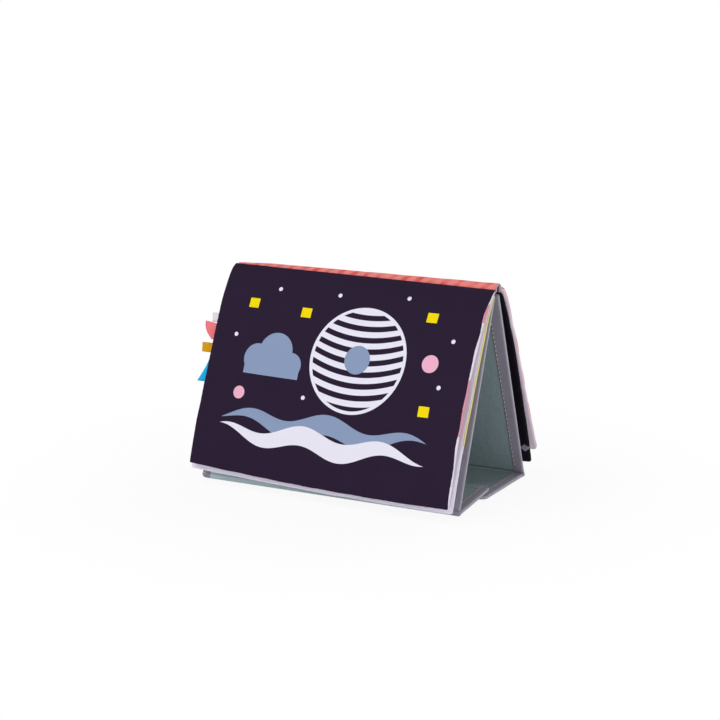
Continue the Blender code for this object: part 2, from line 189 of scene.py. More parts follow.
# Stand cloth. A smooth sage polyester covers each board outside and inside, drawn tight and a
# little padded, so that it bellies between its seams and ripples along them.
SAGE = ("#c2d9dc", "#d2e6e8")
# The lining's sage is the face's sage cloth written darker and greyer: painted shade for the inside
# of the tent.
LINING_PAINTED_SHADE = ("#839598", "#97a8ab")
CLOTH_THICKNESS = 0.0005
CLOTH_SINK = 0.0003
CLOTH_EDGE_SINK = 0.0002
CLOTH_BELLY = 0.0002
CLOTH_TUCK = 0.0042
BELLY_REACH = 0.012
WAVE_SIZES = {1: 0.04, -1: 0.028}
WAVE_STRETCH = 0.6
WAVE_HEIGHT = 0.00022
PUCKER_PITCH = 0.0075
PUCKER_HEIGHT = 0.00008
PUCKER_REACH = 0.01
THREAD = 0.42
REACH_HINTS = {
    "front_panel": (0, 0, -1),
    "back_panel": (0, 0, -1),
    "front_flap": (0, 1, 0),
    "rear_flap": (0, -1, 0),
}


def corners(node):
    """A CAD piece's corner points."""
    points = np.array([vertex.co for vertex in frame["nodes"][node].data.vertices])
    return np.unique(np.round(points, 6), axis=0)


class Slab:
    """Where a flat panel lies: the way it reaches from its hinge, and the way its face looks."""

    def __init__(self, panel):
        out = corners(f"{panel}_face").mean(0) - corners(f"{panel}_lining").mean(0)
        self.out = out / np.linalg.norm(out)
        reach = np.cross((1, 0, 0), self.out)
        self.reach = reach * np.sign(reach @ REACH_HINTS[panel])
        cloth = corners(f"{panel}_face")
        board = corners(f"{panel}_board")
        tape = corners(f"{panel}_binding_right")
        self.start, self.end = (cloth @ self.reach).min(), (cloth @ self.reach).max()
        self.middle = ((board @ self.out).min() + (board @ self.out).max()) / 2
        self.half = (tape @ self.out).max() - self.middle
        self.cloth_x = cloth[:, 0].max()
        self.tape_x, self.tip_x = tape[:, 0].min(), tape[:, 0].max()

    def spot(self, x, along, out):
        """Points from places across, down and out of the panel's middle, each an array."""
        x, along, out = np.broadcast_arrays(x, along, out)
        ways = np.outer(along, self.reach) + np.outer(self.middle + out, self.out)
        return ways + np.outer(x, (1, 0, 0))


def ripple(seed, x, y, size):
    """Smooth, uneven waves between about -1 and 1, with crests this far apart."""
    dice = np.random.default_rng(seed)
    total = 0
    for _ in range(7):
        turn, phase = dice.uniform(0, 2 * math.pi, 2)
        pace = 2 * math.pi / (size * dice.uniform(0.7, 1.5))
        total = total + np.sin(pace * (x * math.cos(turn) + y * math.sin(turn)) + phase)
    return total / 4


def places(size, count, rim=0.0, fine=0.0005):
    """Places along a cloth: this many even steps, with fine ones in a rim at both ends."""
    edge = np.arange(0, rim, fine)
    return np.concatenate((edge, np.linspace(rim, size - rim, count + 1), size - edge[::-1]))


def made_mesh(name, shape, finish):
    """A shape as a mesh of one material."""
    mesh = bpy.data.meshes.new(name)
    shape.to_mesh(mesh)
    shape.free()
    mesh.materials.append(finish)
    return mesh


def made_piece(mesh):
    """A finished mesh as a smooth piece of the scene, by the mesh's name."""
    mesh.shade_smooth()
    piece = bpy.data.objects.new(mesh.name, mesh)
    bpy.context.scene.collection.objects.link(piece)
    return piece


def cloth(name, columns, rows, lie, thickness, finish):
    """A piece of cloth: a grid laid by a formula from its flat places, then given thickness.

    Its UV map holds the flat places, in metres.
    """
    shape = bmesh.new()
    bmesh.ops.create_grid(shape, x_segments=len(columns) - 1, y_segments=len(rows) - 1, size=1)
    mesh = made_mesh(name, shape, finish)
    flat = np.empty(len(mesh.vertices) * 3)
    mesh.vertices.foreach_get("co", flat)
    shares = (flat.reshape(-1, 3)[:, :2] + 1) / 2
    across = columns[np.rint(shares[:, 0] * (len(columns) - 1)).astype(int)]
    down = rows[np.rint(shares[:, 1] * (len(rows) - 1)).astype(int)]
    mesh.vertices.foreach_set("co", lie(across, down).astype(np.float32).ravel())
    corner = np.empty(len(mesh.loops), np.int32)
    mesh.loops.foreach_get("vertex_index", corner)
    flat_map = mesh.uv_layers.new(name="cloth")
    flat_map.data.foreach_set("uv", np.stack((across, down), 1)[corner].ravel())
    piece = made_piece(mesh)
    layer = piece.modifiers.new("thickness", "SOLIDIFY")
    layer.thickness = thickness
    layer.offset = 0
    layer.use_even_offset = True
    return piece


def tie(piece, body, replaced=None):
    """Ties a piece to its body, and hides the CAD piece that it stands for."""
    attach(piece, body)
    if replaced:
        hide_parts(replaced)


def weave(u, v, thread):
    """The height of a plain weave, from 0 to 1, its threads this many millimetres wide."""
    over = (u * (math.pi / thread)).math("SINE")
    under = (v * (math.pi / thread)).math("SINE")
    return over * under * 0.5 + 0.5


def cloth_finish(name, shade, colour, print_on=None, crease=0.25, gloss=0.2, sheen=0.1):
    """Woven polyester, with any print on it, soft creases and a faint sheen."""
    finish = Finish(name, 0.8, gloss, sheen)
    place, (u, v, _) = finish.spot()
    threads = weave(u, v, THREAD)
    clouds = finish.noise(place, 30, 3.0)
    slubs = finish.noise(place, 1.6, 1.0)
    ground = finish.mix(tint(shade), tint(colour), threads * 0.2 + clouds * 0.4 + slubs * 0.4)
    for mask, ink in print_on(finish, u, v) if print_on else ():
        ground = finish.mix(ground, ink, mask)
    finish.colour(ground)
    creases = finish.noise(place, 9, 2.0, 0.6)
    finish.relief(threads * 0.06 + creases * crease + clouds * crease, 1.0)
    return finish.material


def lay_panel_cloth(panel, side, finish):
    """The cloth on one side of a panel: 1 is its face and -1 its lining."""
    slab = Slab(panel)
    low = -slab.cloth_x - CLOTH_TUCK
    size = (2 * (slab.cloth_x + CLOTH_TUCK), slab.end - slab.start)
    middle = slab.half - CLOTH_SINK - CLOTH_THICKNESS / 2

    def lie(across, down):
        edge = np.minimum.reduce((across, size[0] - across, down, size[1] - down))
        swell = 1 - np.exp(-edge / BELLY_REACH)
        near = np.exp(-np.minimum(across, size[0] - across) / PUCKER_REACH)
        wave = ripple(len(panel) + side, across * WAVE_STRETCH, down, WAVE_SIZES[side])
        pucker = np.sin(2 * math.pi * down / PUCKER_PITCH) * PUCKER_HEIGHT * near
        height = middle - CLOTH_EDGE_SINK * (1 - swell) + CLOTH_BELLY * swell
        out = height + wave * WAVE_HEIGHT * swell + pucker
        return slab.spot(low + across, slab.start + down, side * out)

    part = "face" if side > 0 else "lining"
    columns, rows = places(size[0], 90, 0.01, 0.001), places(size[1], 60)
    piece = cloth(f"{panel}_{part}_cloth", columns, rows, lie, CLOTH_THICKNESS, finish)
    tie(piece, panel, f"{panel}_{part}")


sage_cloth = cloth_finish("sage cloth", *SAGE, crease=0.3)
# The lining: the sage cloth in a darker copy, painted shade.
sage_lining_painted_shade = cloth_finish("sage lining with painted shade", *LINING_PAINTED_SHADE, crease=0.8)
for panel in PANELS:
    lay_panel_cloth(panel, 1, sage_cloth)
    lay_panel_cloth(panel, -1, sage_lining_painted_shade)

# Binding tape. A grey tape is folded round both ends of every panel and flap, over the cloth's
# cut edges, and sewn through with one row of paler thread. A flap's free edge is turned cloth.
TAPE = ("#8b8693", "#a09aa8")
# The paler grey along the tape's fold is a painted highlight on the rounded fold.
TAPE_FOLD_HIGHLIGHT = "#c9c7d2"
TAPE_THICKNESS = 0.0006
TAPE_PROUD = 0.0001
TAPE_ROW = 0.0012
TAPE_WAVE_SIZE = 0.02
TAPE_WAVE = 0.00006
FLAT_SHARE = 0.4
FOLD_POWER = 0.7
SEAM_IN = 0.0011
SEAM_DENT_WIDTH = 0.0007
SEAM_DENT = 0.00014
STITCH_DENT = 0.00008
STITCH_PITCH = 0.0047
STITCH_LENGTH = 0.0031
STITCH_WIDTH = 0.0008
STITCH = ("#d3c4c4", "#efe2e0")
TAPE_NARROWED = 0.0032
CREASE_DRAWN = 0.0005
CREASE_REACH = 0.003
CREASE_CLEAR = 0.0065
FLAP_CORNER = 0.006
HEM_WIDTH = 0.009
HEM_WAVE = 0.00008
BUNCH = 0.005
BUNCH_REACH = 0.02
front = Slab("front_panel")


def tape_finish(name, fold_at):
    """Ribbed binding tape, with a paler band along its fold: a painted highlight."""
    finish = Finish(name, 0.62, 0.3, 0.1)
    place, (u, v, _) = finish.spot()
    ribs = (v * (2 * math.pi / 0.7)).math("SINE") * 0.5 + 0.5
    clouds = finish.noise(place, 12, 3.0)
    ground = finish.mix(*map(tint, TAPE), ribs * 0.3 + clouds * 0.7)
    # Painted highlight: a paler band along the fold.
    fold_highlight = (1.3 - (u - fold_at * 1000).math("ABSOLUTE")).math("MULTIPLY", 0.9, clamp=True)
    finish.colour(finish.mix(ground, tint(TAPE_FOLD_HIGHLIGHT), fold_highlight * (clouds * 0.6 + 0.3)))
    finish.relief(ribs * 0.05 + clouds * 0.3, 1.0)
    return finish.material


def thread_finish():
    """Twisted sewing thread."""
    finish = Finish("sewing thread", 0.6)
    place, _ = finish.spot("Object")
    strands = finish.noise(place, 0.4, 1.0)
    finish.colour(finish.mix(*map(tint, STITCH), strands))
    return finish.material


def fold_section(flat, half, share):
    """Places round a folded tape's section: in from the fold, and out from the middle.

    The share runs from one edge, along the flat, round the fold and back to the other edge.
    """
    fold = (np.clip(share, FLAT_SHARE, 1 - FLAT_SHARE) - FLAT_SHARE) / (1 - 2 * FLAT_SHARE)
    turn = fold * math.pi
    inward = np.maximum(np.maximum(FLAT_SHARE - share, share - 1 + FLAT_SHARE), 0) / FLAT_SHARE
    back = half * (1 - np.sin(turn) ** FOLD_POWER) + inward * (flat - half)
    out = half * np.sign(np.cos(turn)) * np.abs(np.cos(turn)) ** FOLD_POWER
    return back, out


def bunch(points):
    """Draws the stand's front left foot in, where the tape is bunched round the fold."""
    x, y, z = points.T
    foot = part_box("front_fold")[0].y
    rise = np.clip(1 - z / BUNCH, 0, 1)
    near = np.clip(1 - (y - foot) / BUNCH_REACH, 0, 1)
    near = near * np.clip((-front.tape_x - x) / (front.tip_x - front.tape_x), 0, 1)
    inset = BUNCH * (1 - np.sqrt(1 - rise**2)) * near
    return np.stack((x + inset, y, z), 1)


def sew(name, body, spots, along, out, finish):
    """A row of stitches: small threads lying along a seam at these spots."""
    shape = bmesh.new()
    sizes = Matrix.Diagonal((STITCH_LENGTH / 2, STITCH_WIDTH / 2, STITCH_WIDTH / 2, 1))
    along, out = Vector(along).normalized(), Vector(out).normalized()
    turn = Matrix((along, out.cross(along), out)).transposed().to_4x4()
    for spot in spots:
        matrix = Matrix.Translation(Vector(spot)) @ turn @ sizes
        bmesh.ops.create_icosphere(shape, subdivisions=1, radius=1, matrix=matrix)
    piece = made_piece(made_mesh(name, shape, finish))
    tie(piece, body)


def bind_end(panel, side, finish, thread):
    """The tape round one end of a panel, with its stitches on both faces."""
    slab = Slab(panel)
    width = slab.tip_x - slab.tape_x
    half = slab.half + TAPE_PROUD - TAPE_THICKNESS / 2
    length = slab.end - slab.start
    flap = panel.endswith("flap")
    size = (2 * width, length)

    def tip(down):
        """How far the fold is drawn in round a flap's corner."""
        past = np.clip(down - (length - FLAP_CORNER), 0, FLAP_CORNER) if flap else 0 * down
        return FLAP_CORNER - np.sqrt(FLAP_CORNER**2 - past**2)

    def reach(down):
        """How far in from the fold the tape comes: less towards a panel's foot."""
        return width - (TAPE_NARROWED if flap else TAPE_NARROWED * down / length)

    def lie(across, down):
        share = across / size[0]
        inset = tip(down)
        back, out = fold_section(reach(down) - TAPE_THICKNESS / 2 - inset, half, share)
        seam = np.exp(-(((reach(down) - inset - back - SEAM_IN) / SEAM_DENT_WIDTH) ** 2))
        pull = seam * (SEAM_DENT + STITCH_DENT * np.cos(2 * math.pi * down / STITCH_PITCH))
        wave = ripple(side + 5, across, down, TAPE_WAVE_SIZE) * TAPE_WAVE
        x = side * (slab.tip_x - TAPE_THICKNESS / 2 - inset - back)
        crease = down if flap else length - down
        drawn = CREASE_DRAWN * np.exp(-crease / CREASE_REACH) * (out < 0)
        points = slab.spot(x, slab.start + down, out - np.sign(out) * (pull - wave + drawn))
        return bunch(points) if panel.startswith("front") else points

    hand = "right" if side > 0 else "left"
    rows = places(length, int(length / TAPE_ROW))
    piece = cloth(f"{panel}_tape_{hand}", places(size[0], 40), rows, lie, TAPE_THICKNESS, finish)
    tie(piece, panel, f"{panel}_binding_{hand}")
    steps = np.arange(slab.start + STITCH_PITCH / 2, slab.end - STITCH_PITCH / 2, STITCH_PITCH)
    x = side * (slab.tip_x - reach(steps - slab.start) + SEAM_IN)
    for face, word in ((1, "face"), (-1, "lining")):
        spots = slab.spot(x, steps, face * (slab.half + TAPE_PROUD + STITCH_WIDTH / 8))
        if face < 0:
            crease = steps - slab.start if flap else slab.end - steps
            spots = spots[crease > CREASE_CLEAR]
        sew(f"{panel}_stitches_{hand}_{word}", panel, spots, slab.reach, slab.out, thread)


def turn_hem(panel, finish):
    """The cloth turned round a flap's free edge."""
    slab = Slab(panel)
    half = slab.half - TAPE_THICKNESS / 2
    reach_x = slab.tip_x - FLAP_CORNER
    size = (2 * reach_x, 2 * HEM_WIDTH)
    fold = slab.end + TAPE_THICKNESS

    def lie(across, down):
        back, out = fold_section(HEM_WIDTH, half, down / size[1])
        wave = ripple(11, across, down, TAPE_WAVE_SIZE) * HEM_WAVE
        return slab.spot(across - reach_x, fold - back, out + np.sign(out) * wave)

    columns, rows = places(size[0], 160), places(size[1], 40)
    piece = cloth(f"{panel}_hem", columns, rows, lie, TAPE_THICKNESS, finish)
    tie(piece, panel)


grey_tape = tape_finish("grey binding tape", front.tip_x - front.tape_x)
pale_thread = thread_finish()
for panel in PANELS:
    for side in (-1, 1):
        bind_end(panel, side, grey_tape, pale_thread)
# A flap's turned hem takes the lining's darker sage, painted shade.
for panel in ("front_flap", "rear_flap"):
    turn_hem(panel, sage_lining_painted_shade)

# Folds. Between each panel and its flap the two cloths are sewn together without a board, which
# leaves a soft, padded corner, and the tape runs on round its two ends.
FOLD_ROUND = 0.0004
FLAT_ANGLE = 0.02
SHARP_ANGLE = 0.5
BUNCH_CUTS = 8
INSIDE_MAP = 1.0


def inward_lining_shade(finish, u, v):
    """The lining's darker sage, painted shade, on the part of the map that holds the faces looking
    inwards.
    """
    return [((v - INSIDE_MAP * 500).math("ADD", 0.5, clamp=True), tint(LINING_PAINTED_SHADE[1]))]


# Faces that look inwards take the lining's darker sage: painted shade.
fold_cloth = cloth_finish("sage cloth of the folds", *SAGE, inward_lining_shade, crease=0.3)


def cut(shape, spot, normal, clear=False):
    """Cuts a shape across by a plane, and takes away what lies past it if asked to."""
    geom = [*shape.verts, *shape.edges, *shape.faces]
    bmesh.ops.bisect_plane(shape, geom=geom, plane_co=spot, plane_no=normal, clear_outer=clear)


def soften_corner(shape):
    """Rounds the corner's folded edges."""
    bmesh.ops.dissolve_limit(
        shape, angle_limit=FLAT_ANGLE, verts=shape.verts, edges=shape.edges,
        use_dissolve_boundaries=False,
    )
    sharp = [e for e in shape.edges if e.is_manifold and e.calc_face_angle() > SHARP_ANGLE]
    bmesh.ops.bevel(
        shape, geom=sharp, offset=FOLD_ROUND, offset_type="OFFSET", segments=3, profile=0.5,
        affect="EDGES", material=-1, clamp_overlap=True,
    )


def bunch_tape(shape):
    """Draws the tape in at the stand's front left foot."""
    for level in np.arange(1, BUNCH_CUTS) * BUNCH / BUNCH_CUTS:
        cut(shape, (0, 0, level), (0, 0, 1))
    spots = bunch(np.array([vert.co for vert in shape.verts]))
    for vert, spot in zip(shape.verts, spots):
        vert.co = spot


def map_corner(shape):
    """Lays the map: metres along and round, with the faces that look inwards 1 m further on."""
    flat = shape.loops.layers.uv.new("cloth")
    for face in shape.faces:
        outward = face.normal.y * math.copysign(1, face.calc_center_median().y)
        inside = INSIDE_MAP if face.normal.z - outward > 0.5 else 0
        for loop in face.loops:
            loop[flat].uv = (loop.vert.co.x, loop.vert.co.y + loop.vert.co.z + inside)


def turn_fold(node, body):
    """The padded corner: sage cloth along its length, with tape round each end."""
    meet = front.tape_x + TAPE_NARROWED
    spans = (
        ("cloth", -meet, meet, fold_cloth, "sage_cloth"),
        ("tape_left", -front.tip_x, -meet, grey_tape, "grey_tape"),
        ("tape_right", meet, front.tip_x, grey_tape, "grey_tape"),
    )
    for word, low, high, finish, slot in spans:
        shape = bmesh.new()
        shape.from_mesh(frame["nodes"][node].data)
        bmesh.ops.remove_doubles(shape, verts=shape.verts, dist=1e-6)
        for x, side in ((low, -1), (high, 1)):
            cut(shape, (x, 0, 0), (side, 0, 0), clear=True)
            bmesh.ops.holes_fill(shape, edges=[edge for edge in shape.edges if edge.is_boundary])
        soften_corner(shape)
        if (node, word) == ("front_fold", "tape_left"):
            bunch_tape(shape)
        bmesh.ops.recalc_face_normals(shape, faces=shape.faces)
        map_corner(shape)
        piece = made_piece(made_mesh(f"{node}_{word}", shape, finish))
        tie(piece, body, node)


turn_fold("front_fold", "front_panel")
turn_fold("rear_fold", "back_panel")

# Hook-and-loop closure. A strip of moulded hooks is sewn on the rear flap and a strip of napped
# loops under the front flap, and the two hold the tent's base together.
HOOKS = ("#33363a", "#63676c")
LOOPS = ("#5a6668", "#8b9799")
HOOK_PITCH = 0.75


def hook_finish():
    """Rows of tiny hooks on a woven backing."""
    finish = Finish("hook strip", 0.5)
    _, (x, y, _) = finish.spot("Object")
    rows = weave(x, y, HOOK_PITCH)
    finish.colour(finish.mix(*map(tint, HOOKS), rows))
    finish.relief(rows, 0.5)
    return finish.material


def loop_finish():
    """A soft nap of loops."""
    finish = Finish("loop strip", 0.95, sheen=0.4)
    place, _ = finish.spot("Object")
    nap = finish.noise(place, 0.8, 5.0, 0.7)
    finish.colour(finish.mix(*map(tint, LOOPS), nap))
    finish.relief(nap, 0.6)
    return finish.material


wear("hook_strip", hook_finish())
wear("loop_strip", loop_finish())

# Ridge. The seam allowances of all the leaves and panels are rolled up along the ridge. The
# coral cloth of the rearmost leaf passes over the roll, and a strip of lining closes it below.
CORAL = ("#f5857f", "#fa928d")
CORAL_DARK = "#e65650"
CORAL_PERIOD = 13.5
LAVENDER = ("#e9e2f2", "#f3eefa")
SEAM_EDGE = ("#b9b2c2", "#d6d0dd")
# The backing is painted black away from its ends: painted shade inside the ridge.
PAINTED_SHADE_BLACK = "#0c090e"
CUT_EDGE = 1.6
BAND_TURNS = (-99, 116)
LINING_TURNS = (120, 240)
BAND_CLOTH = 0.0004
BAND_WALL = 0.0008
BACKING_OVERHANG = 0.0006
RIDGE_LINING = 0.0006
RIDGE_LINING_OVERHANG = -0.005
BAND_WAVE_SIZE = 0.03
BAND_WAVE = 0.00018
BAND_END = 0.004
BAND_PRESSED = 0.0003
BAND_PRESSED_TURNS = (60, 90)
ROLL_COLOURS = ("#120e15", "#352e38")
ROLL_RADIUS = 0.0048
ROLL_SIDES = 28
ROLL_CUTS = 90
ROLL_WAVES = ((0.03, 3, 90), (0.02, 5, -210))
RIDGE_PRESSED = 0.12
PRESSED_FROM = -0.076
PRESSED_LENGTH = 0.06
ridge = Vector(frame["joints"][0]["pos_m"])
ridge_low, ridge_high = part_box("spine_band")
ridge_radius = (ridge_high.y - ridge_low.y) / 2


def slanting_stripes(finish, u, v):
    """Plain coral stripes on the slant, their edges soft and a little uneven."""
    place, _ = finish.spot()
    wander = finish.noise(place, 5, 2.0) * 5
    phase = (u - v * 0.8 + wander) * (2 * math.pi / CORAL_PERIOD)
    stripe = (phase.math("SINE") * 1.3).math("ADD", 0.2, clamp=True)
    strength = (finish.noise(place, 16, 1.0) - 0.36).math("MULTIPLY", 4, clamp=True)
    return [(stripe * (strength * 0.7 + 0.3), tint(CORAL_DARK))]


def ridge_inside_shade(finish, u, v):
    """Painted shade: black away from a strip's two cut ends, for the dark inside of the ridge."""
    middle = (ridge_high.x - ridge_low.x) * 500
    inside = middle - CUT_EDGE - (u - middle).math("ABSOLUTE")
    return [(inside.math("ADD", 0.5, clamp=True), tint(PAINTED_SHADE_BLACK))]


def press(x, z):
    """The height of a place on the ridge, which is pressed lower towards its left end."""
    share = np.clip((PRESSED_FROM - x) / PRESSED_LENGTH, 0, 1)
    base = ridge.z - ridge_radius
    return base + (z - base) * (1 - RIDGE_PRESSED * share**2)


def round_ridge(name, radius, turns, overhang, thickness, finish, seed, replaced=None):
    """A strip of cloth round the ridge between two turns in degrees from straight up."""
    start, end = turns
    size = (ridge_high.x - ridge_low.x + 2 * overhang, math.radians(end - start) * radius)

    def lie(across, down):
        turn = math.radians(start) + down / radius
        loose = 1 - np.exp(-np.minimum(across, size[0] - across) / BAND_END)
        swell = ripple(seed, across, down, BAND_WAVE_SIZE) * BAND_WAVE * loose
        pressed = np.interp(np.degrees(turn), BAND_PRESSED_TURNS, (0, BAND_PRESSED))
        reach = radius + swell - pressed
        x = ridge_low.x - overhang + across
        y, z = ridge.y + reach * np.sin(turn), ridge.z + reach * np.cos(turn)
        return np.stack((x, y, press(x, z)), 1)

    piece = cloth(name, places(size[0], 180), places(size[1], 28), lie, thickness, finish)
    tie(piece, "spine", replaced)


def roll_finish():
    """Dark raw edges of many cloths rolled together."""
    finish = Finish("rolled seam allowances", 0.95, 0.1)
    place, _ = finish.spot("Object")
    layers = finish.noise(place, 0.9, 3.0)
    finish.colour(finish.mix(*map(tint, ROLL_COLOURS), layers))
    finish.relief(layers, 0.4)
    return finish.material


def roll_allowances():
    """The roll of cut edges inside the ridge, a little uneven along its length."""
    low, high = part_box("seam_roll")
    shape = bmesh.new()
    bmesh.ops.create_cone(
        shape, cap_ends=True, segments=ROLL_SIDES, radius1=ROLL_RADIUS, radius2=ROLL_RADIUS,
        depth=high.x - low.x, matrix=Matrix.Rotation(math.pi / 2, 4, "Y"),
    )
    long = [e for e in shape.edges if abs(e.verts[0].co.x - e.verts[1].co.x) > ROLL_RADIUS]
    bmesh.ops.subdivide_edges(shape, edges=long, cuts=ROLL_CUTS, use_grid_fill=True)
    for vert in shape.verts:
        x, y, z = vert.co
        angle = math.atan2(y, z)
        uneven = 1
        for swing, lobes, twist in ROLL_WAVES:
            uneven += swing * math.sin(lobes * angle + twist * x)
        x += (low.x + high.x) / 2
        vert.co = (x, ridge.y + y * uneven, press(x, ridge.z + z * uneven))
    piece = made_piece(made_mesh("rolled_allowances", shape, roll_finish()))
    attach(piece, "spine")
    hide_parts("seam_roll")


roll_allowances()
coral_cloth = cloth_finish("coral striped cloth", *CORAL, slanting_stripes, crease=0.2)
lavender_cloth = cloth_finish("lavender cloth", *LAVENDER, crease=0.3)
# The backing's grey-lavender shows only near its ends; its middle is painted shade.
seam_edge_and_shade = cloth_finish("seam edges and painted shade", *SEAM_EDGE, ridge_inside_shade, crease=0.3)
round_ridge(
    "ridge_band_cloth", ridge_radius - BAND_CLOTH / 2, BAND_TURNS, overhang=0.0,
    thickness=BAND_CLOTH, finish=coral_cloth, seed=3, replaced="spine_band",
)
round_ridge(
    "ridge_band_backing", ridge_radius - BAND_WALL + BAND_CLOTH / 4, BAND_TURNS,
    overhang=BACKING_OVERHANG, thickness=BAND_CLOTH / 2, finish=seam_edge_and_shade,
    seed=3,
)
# The strip under the roll takes the lining's darker sage: painted shade.
round_ridge(
    "ridge_lining_cloth", ridge_radius - BAND_CLOTH, LINING_TURNS,
    overhang=RIDGE_LINING_OVERHANG, thickness=RIDGE_LINING, finish=sage_lining_painted_shade,
    seed=4, replaced="ridge_lining",
)

# Leaves. Each leaf is two printed cloths sewn right sides together and turned out, with a sheet
# of crackling film and thin wadding between them. Its rim is a soft round one, where the seam
# has rolled a little to one side or the other in uneven waves.
PAGE_LENGTH = 0.272
PAGE_HEIGHT = 0.201
PAGE_CLOTH = 0.0005
PAGE_HALF = 0.0018
PAGE_CORNERS = {"leaf_1": 0.002, "leaf_2": 0.003, "leaf_3": 0.003, "leaf_4": 0.005}
RIM_ROUND = PAGE_HALF - PAGE_CLOTH / 2
RIM_QUARTER = RIM_ROUND * math.pi / 2
SEAM_WIDTH = 0.003
SEAM_DIP = 0.0004
SEAM_DIP_WIDTH = 0.0006
SEAM_FLATTENED = 0.35
LEAF_WAVE_SIZE = 0.07
LEAF_WAVE = 0.0003
ROOT_STILL = 0.03
SLACK_SIZE = 0.03
SLACK = 0.00025
SLACK_REACH = 0.008
ROLL_WAVE_SIZE = 0.03
ROLL_REACH = 0.012
ROLL_END = 0.006
RIM_PUCKER_PITCH = 0.009
RIM_PUCKER_SLANT = 1.3
RIM_PUCKER = 0.00007
RIM_PUCKER_REACH = 0.006
PROUD_REACH = 0.04
PROUD_POWER = 0.7
FINE_RIM = 0.0055
FILM_THICKNESS = 0.0002
LAYER_GAP = 0.0004
FRONT_INK = ("#261a2f", "#2d1f36")
FRONT_COLOURS = ("#eeebf7", "#8d9dbd", "#2a1d33", "#fbe000", "#f4b4cd")
PALE_GROUND = ("#e8deed", "#f3ecf6")
MAUVE = ("#e3cedb", "#efdde8")
YELLOW = ("#eadf92", "#f5eba4")
BLACK = ("#110c15", "#18121d")
FILM = ("#c4c9d2", "#d4d8de")
WADDING = ("#e4e1d8", "#f2f0ea")
PINK_ROUNDS = "#e598ac"
DIAMONDS = "#9a92a6"
PANEL_LEAN = 20.6
ROOT_RADIUS = 0.0073
LINE_STEPS = 400
STATION_SHARES = (0, 0.05, 0.15, 0.4, 0.7, 1)
# In each pair the left end comes first. A roll's numbers are its mean and its swing, at a leaf's
# left end, right end and foot.
LEAF_SIDES = {"leaf_1": -1, "leaf_2": -1, "leaf_3": 1, "leaf_4": 1}
ROOT_DEGREES = {"leaf_1": (124, 92), "leaf_2": (74, 72), "leaf_3": (72, 72), "leaf_4": (92, 92)}
LENGTH_SHARES = {
    "leaf_1": (0.996, 1.035),
    "leaf_2": (0.98, 1.01),
    "leaf_3": (0.985, 0.98),
    "leaf_4": (1.005, 0.994),
}
HEM_BOW_SHARES = {"leaf_1": 0.013, "leaf_2": 0.009, "leaf_3": 0.004, "leaf_4": 0.004}
LEAN_DEGREES = {
    "leaf_1": ((53, 22.8, 9.6, 1.9, 4.1, -5), (64.4, 28.2, 17.4, 9.2, -1.8, -7)),
    "leaf_2": ((33, 21, 8.4, 2, -0.5, -3), (26.1, 10.6, 5.4, 4.2, 4.1, -2.9)),
    "leaf_3": ((19, 13, 8, 2, 1, 0), (19, 13, 9, 2.5, 1, 0)),
    "leaf_4": ((66, 24, 7, 4.5, 4, 5), (68, 22, 6.5, 5.3, 4.9, 9.5)),
}
# How far a right end stands out, and how much more in its middle, and how far a left foot does.
RIGHT_PROUD = {"leaf_1": (0.001, 0.0018)}
FOOT_PROUD = {"leaf_2": 0.0022}
LEAF_ROLLS = {
    "leaf_1": ((0.0003, 0.0003), (0.0018, 0.0006), (0.0002, 0.0003)),
    "leaf_2": ((0.0002, 0.0004), (0.0016, 0.0005), (0.0002, 0.0003)),
    "leaf_3": ((0.0005, 0.0003), (0.0024, 0.0003), (0.0022, 0.0003)),
    "leaf_4": ((-0.0004, 0.0004), (0.0005, 0.0006), (-0.0002, 0.0004)),
}


def hanging_edge(name, end):
    """The Y and Z of a leaf's end, from a share of its way down: 0 is the left and 1 the right."""
    side = LEAF_SIDES[name]
    angle = math.radians(ROOT_DEGREES[name][end])
    start = np.array(ridge.yz) + np.array((side * math.sin(angle), -math.cos(angle))) * ROOT_RADIUS
    at = np.arange(LINE_STEPS + 1) / LINE_STEPS
    middles = (at[1:] + at[:-1]) / 2
    lean = np.radians(PANEL_LEAN + np.interp(middles, STATION_SHARES, LEAN_DEGREES[name][end]))
    step = PAGE_HEIGHT * LENGTH_SHARES[name][end] * (1 + HEM_BOW_SHARES[name]) / LINE_STEPS
    moves = np.stack((side * np.sin(lean), -np.cos(lean)), 1) * step
    line = start + np.concatenate((np.zeros((1, 2)), np.cumsum(moves, 0)))
    return lambda share: np.stack([np.interp(share, at, line[:, axis]) for axis in (0, 1)], 1)


class Leaf:
    """A leaf's middle surface, from places across and down it."""

    def __init__(self, name):
        self.side = LEAF_SIDES[name]
        self.bow = HEM_BOW_SHARES[name]
        self.left, self.right = hanging_edge(name, 0), hanging_edge(name, 1)

    def point(self, across, down):
        share = np.clip(across / PAGE_LENGTH, 0, 1)
        longer = (1 + 4 * self.bow * share * (1 - share)) / (1 + self.bow)
        fall = np.clip(down / PAGE_HEIGHT, 0, 1) * longer
        yz = self.left(fall) * (1 - share)[:, None] + self.right(fall) * share[:, None]
        return np.concatenate(((across - PAGE_LENGTH / 2)[:, None], yz), 1)

    def out(self, across, down):
        """The way the outer cloth looks."""
        small = 0.0008
        over = self.point(across + small, down) - self.point(across - small, down)
        inside = np.clip(down, small, PAGE_HEIGHT - small)
        fall = self.point(across, inside + small) - self.point(across, inside - small)
        normal = np.cross(over, fall) if self.side > 0 else np.cross(fall, over)
        return normal / np.linalg.norm(normal, axis=1)[:, None]

    def place(self, across, down, height):
        """A point this far out of the leaf's middle, with the soft waves that its layers share."""
        wave = ripple(20 + self.side, across, down, LEAF_WAVE_SIZE) * LEAF_WAVE
        height = height + wave * (1 - np.exp(-down / ROOT_STILL))
        return self.point(across, down) + self.out(across, down) * height[:, None]


